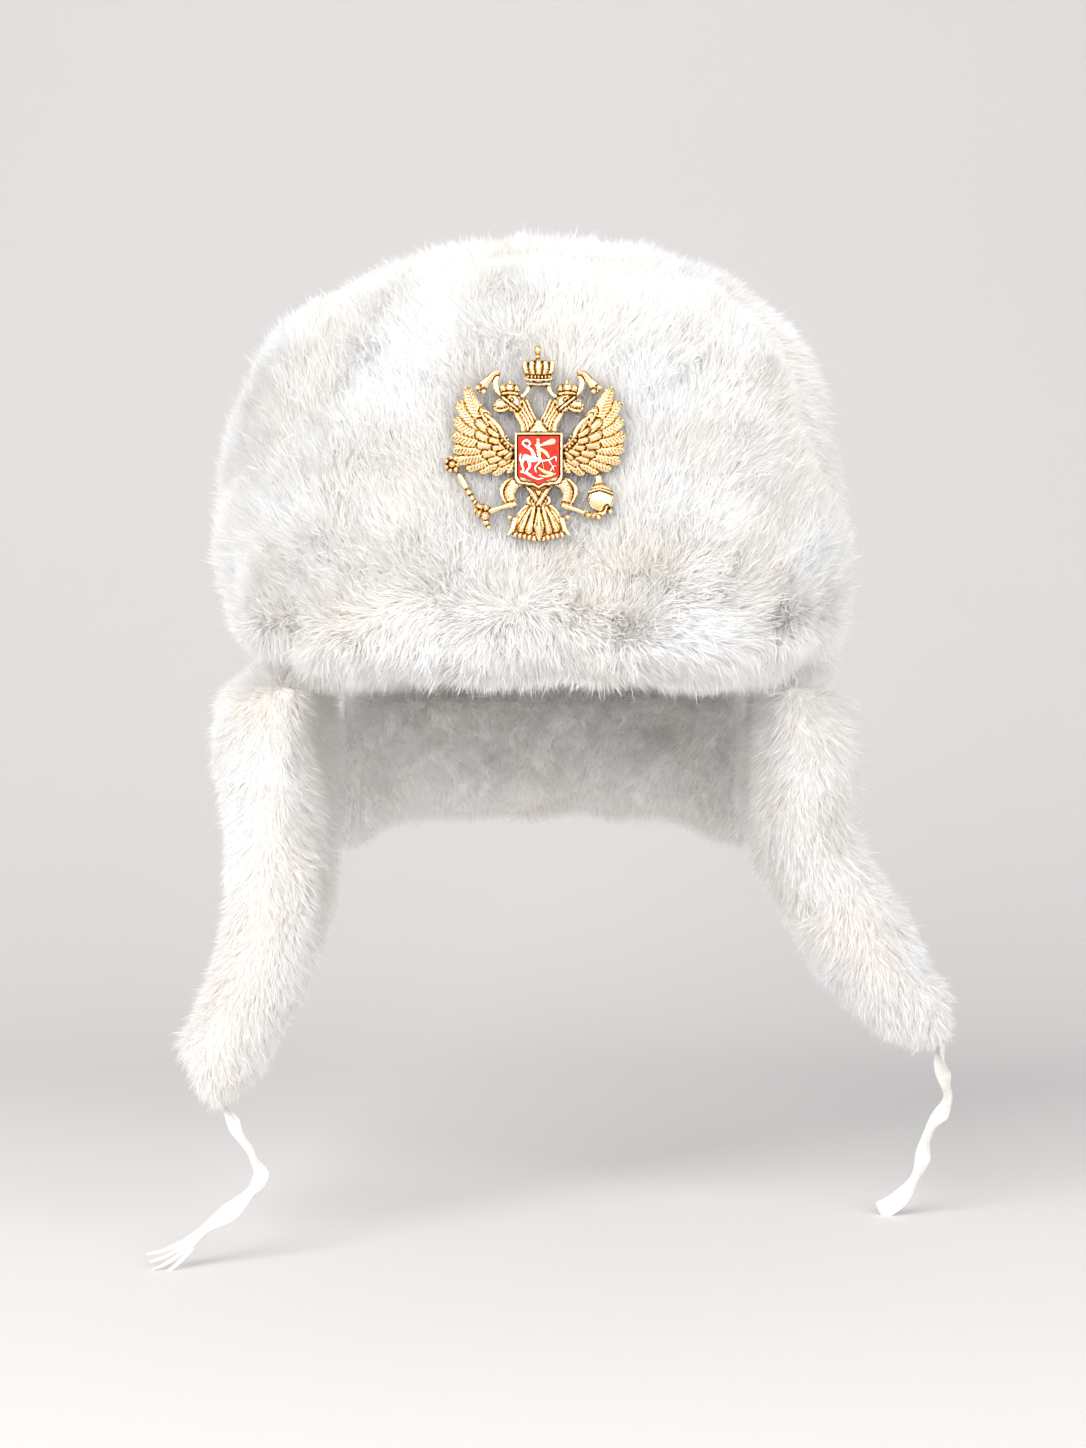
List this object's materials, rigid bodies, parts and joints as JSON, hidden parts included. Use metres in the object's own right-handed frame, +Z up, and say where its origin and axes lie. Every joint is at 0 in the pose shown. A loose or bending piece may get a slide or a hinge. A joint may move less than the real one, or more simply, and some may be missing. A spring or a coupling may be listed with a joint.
{
  "type": "ushanka",
  "caption": "White fur ushanka with a turned-up front flap, hanging ear and neck flaps, flat ties and a pierced gilt cast badge.",
  "frame": {"origin": "top of the head hollow, where the hat sits on the head", "axes": "+Z up along the head, -Y towards the front where the badge is, +X to the right of someone who looks at the front"},
  "size_m": [0.3175, 0.2607, 0.3986],
  "materials": {
    "fur": "deep straight-pile faux fur",
    "tape": "woven cotton tape",
    "gilt": "bright cast gilt",
    "red_enamel": "gloss enamel",
    "white_enamel": "gloss enamel"
  },
  "bodies": {
    "root": {"crown": "fur", "front_flap": "fur", "ear_flap_left": "fur", "ear_flap_right": "fur", "neck_flap": "fur", "tie_left": "tape", "tie_right": "tape", "badge_eagle": "gilt", "badge_enamel": "red_enamel", "badge_horse": "white_enamel", "badge_rider": "gilt", "badge_post": "gilt"}
  },
  "joints": []
}
